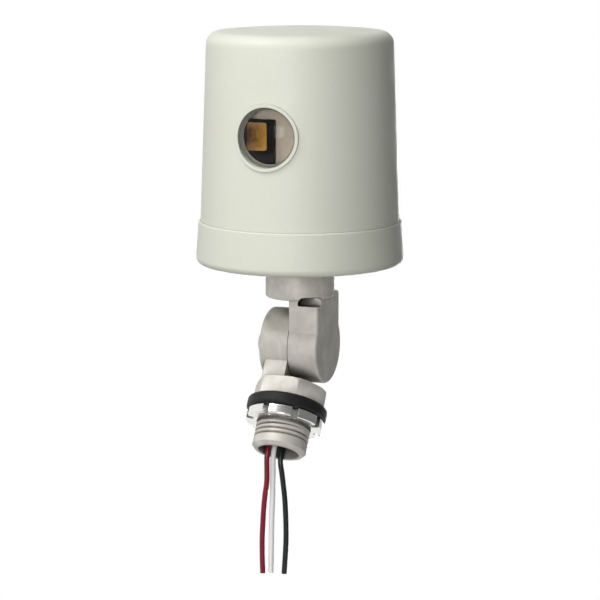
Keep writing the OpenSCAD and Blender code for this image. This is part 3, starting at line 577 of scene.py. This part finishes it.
def floor_finish():
    """Pale floor that shows as white where no shadow falls, fades at its rim and is clear from below."""
    made = bpy.data.materials.new("floor_finish")
    made.use_nodes = True
    tree = made.node_tree
    tree.nodes.remove(tree.nodes["Principled BSDF"])
    bounce = node(tree, "ShaderNodeBsdfDiffuse", inputs={"Color": (*[FLOOR_BOUNCE] * 3, 1)})
    pale = node(tree, "ShaderNodeBsdfDiffuse", inputs={"Color": (*[FLOOR_PALE] * 3, 1)})
    glow = node(tree, "ShaderNodeEmission", inputs={"Color": WHITE, "Strength": FLOOR_GLOW})
    white = node(tree, "ShaderNodeEmission", inputs={"Color": WHITE, "Strength": 1.0})
    shown = node(tree, "ShaderNodeAddShader")
    tree.links.new(pale.outputs[0], shown.inputs[0])
    tree.links.new(glow.outputs[0], shown.inputs[1])
    place = node(tree, "ShaderNodeTexCoord")
    out = node(tree, "ShaderNodeVectorMath", settings={"operation": "LENGTH"})
    tree.links.new(place.outputs["Object"], out.inputs[0])
    inner, outer = (share * FLOOR_RADIUS for share in FLOOR_FADE)
    fade = spread(tree, out.outputs["Value"], 0.0, 1.0, start=inner, end=outer)
    seen = choose(tree, fade, shown.outputs[0], white.outputs[0])
    shows = ray_is(tree, "Is Camera Ray", "Is Glossy Ray", "Is Transmission Ray")
    above = choose(tree, shows, bounce.outputs[0], seen)
    clear = node(tree, "ShaderNodeBsdfTransparent")
    side = node(tree, "ShaderNodeNewGeometry")
    chosen = choose(tree, side.outputs["Backfacing"], above, clear.outputs[0])
    tree.links.new(chosen, tree.nodes["Material Output"].inputs["Surface"])
    return made


def make_floor():
    """A round pale floor well below the part, which hangs above it."""
    disc = bmesh.new()
    bmesh.ops.create_circle(disc, cap_ends=True, segments=FLOOR_SIDES, radius=FLOOR_RADIUS)
    mesh = bpy.data.meshes.new("floor")
    disc.to_mesh(mesh)
    disc.free()
    mesh.materials.append(floor_finish())
    floor = link("floor", mesh)
    floor.location = (PIVOT.x, PIVOT.y, FLOOR_HEIGHT)


def towards(tree, direction):
    """How far a ray of the world points in a direction, from minus one to one."""
    place = node(tree, "ShaderNodeTexCoord")
    along = node(tree, "ShaderNodeVectorMath", settings={"operation": "DOT_PRODUCT"})
    along.inputs[1].default_value = direction
    tree.links.new(place.outputs["Generated"], along.inputs[0])
    return along.outputs["Value"]


def make_world():
    """White where it is seen, darker to one side in reflections, and a broad soft fill for the rest."""
    world = bpy.data.worlds.new("studio")
    world.use_nodes = True
    tree = world.node_tree
    fill = tree.nodes["Background"]
    fill.inputs["Color"].default_value = FILL_COLOUR
    facing = towards(tree, studio_direction(*FILL_SIDE))
    tree.links.new(spread(tree, facing, 0.0, FILL_LEVEL, start=FILL_EDGE, end=1.0), fill.inputs["Strength"])
    white = node(tree, "ShaderNodeBackground", inputs={"Color": WHITE, "Strength": 1.0})
    room = node(tree, "ShaderNodeBackground", inputs={"Color": WHITE})
    facing = towards(tree, studio_direction(*DARK_SIDE))
    start, end = DARK_FADE
    level = spread(tree, facing, 1.0, DARK_LEVEL, start=start, end=end)
    tree.links.new(level, room.inputs["Strength"])
    reflected = ray_is(tree, "Is Glossy Ray", "Is Transmission Ray")
    mirrored = choose(tree, reflected, fill.outputs[0], room.outputs[0])
    chosen = choose(tree, ray_is(tree, "Is Camera Ray"), mirrored, white.outputs[0])
    tree.links.new(chosen, tree.nodes["World Output"].inputs["Surface"])
    bpy.context.scene.world = world


def studio_direction(turn, rise):
    """A way out from the part: turn is to the camera's right, rise above the horizon, in degrees."""
    around = CAMERA_AZIMUTH + math.radians(turn)
    up = math.radians(rise)
    return Vector((math.sin(around) * math.cos(up), -math.cos(around) * math.cos(up), math.sin(up)))


def studio_middle():
    """The point that the lamps look at."""
    return Vector((PIVOT.x, PIVOT.y, (cad_low.z + cad_high.z) / 2))


def soft_lamp(name, turn, rise, distance, size, power):
    """A square soft box aimed at the part."""
    data = bpy.data.lights.new(name, "AREA")
    data.shape = "SQUARE"
    data.size = size
    data.energy = power
    lamp = link(name, data)
    lamp.location = studio_middle() + studio_direction(turn, rise) * distance
    lamp.rotation_mode = "QUATERNION"
    lamp.rotation_quaternion = (studio_middle() - lamp.location).to_track_quat("-Z", "Y")


def make_camera():
    """The camera at the photograph's place."""
    data = bpy.data.cameras.new("camera")
    data.lens = CAMERA_LENS
    data.sensor_width = CAMERA_SENSOR
    data.clip_start = 10 * MM
    camera = link("camera", data)
    camera.location = (
        PIVOT.x + math.sin(CAMERA_AZIMUTH) * CAMERA_DISTANCE,
        PIVOT.y - math.cos(CAMERA_AZIMUTH) * CAMERA_DISTANCE,
        CAMERA_HEIGHT,
    )
    aim = Vector((PIVOT.x, PIVOT.y, CAMERA_AIM))
    camera.rotation_mode = "QUATERNION"
    camera.rotation_quaternion = (aim - camera.location).to_track_quat("-Z", "Y")
    bpy.context.scene.camera = camera


bpy.context.scene.view_settings.view_transform = "Standard"
make_camera()
for lead_name, lead_route in LEAD_ROUTES.items():
    lead(lead_name, lead_route)
dress_cad_nodes()
threaded_stem()
make_floor()
make_world()
soft_lamp("top", turn=-50, rise=75, distance=0.72, size=0.42, power=1.25)
soft_lamp("side", turn=-65, rise=52, distance=0.9, size=0.3, power=3.45)
soft_lamp("front", turn=-15, rise=10, distance=0.9, size=0.3, power=3.1)
soft_lamp("back", turn=174, rise=-12, distance=0.9, size=0.4, power=5.5)
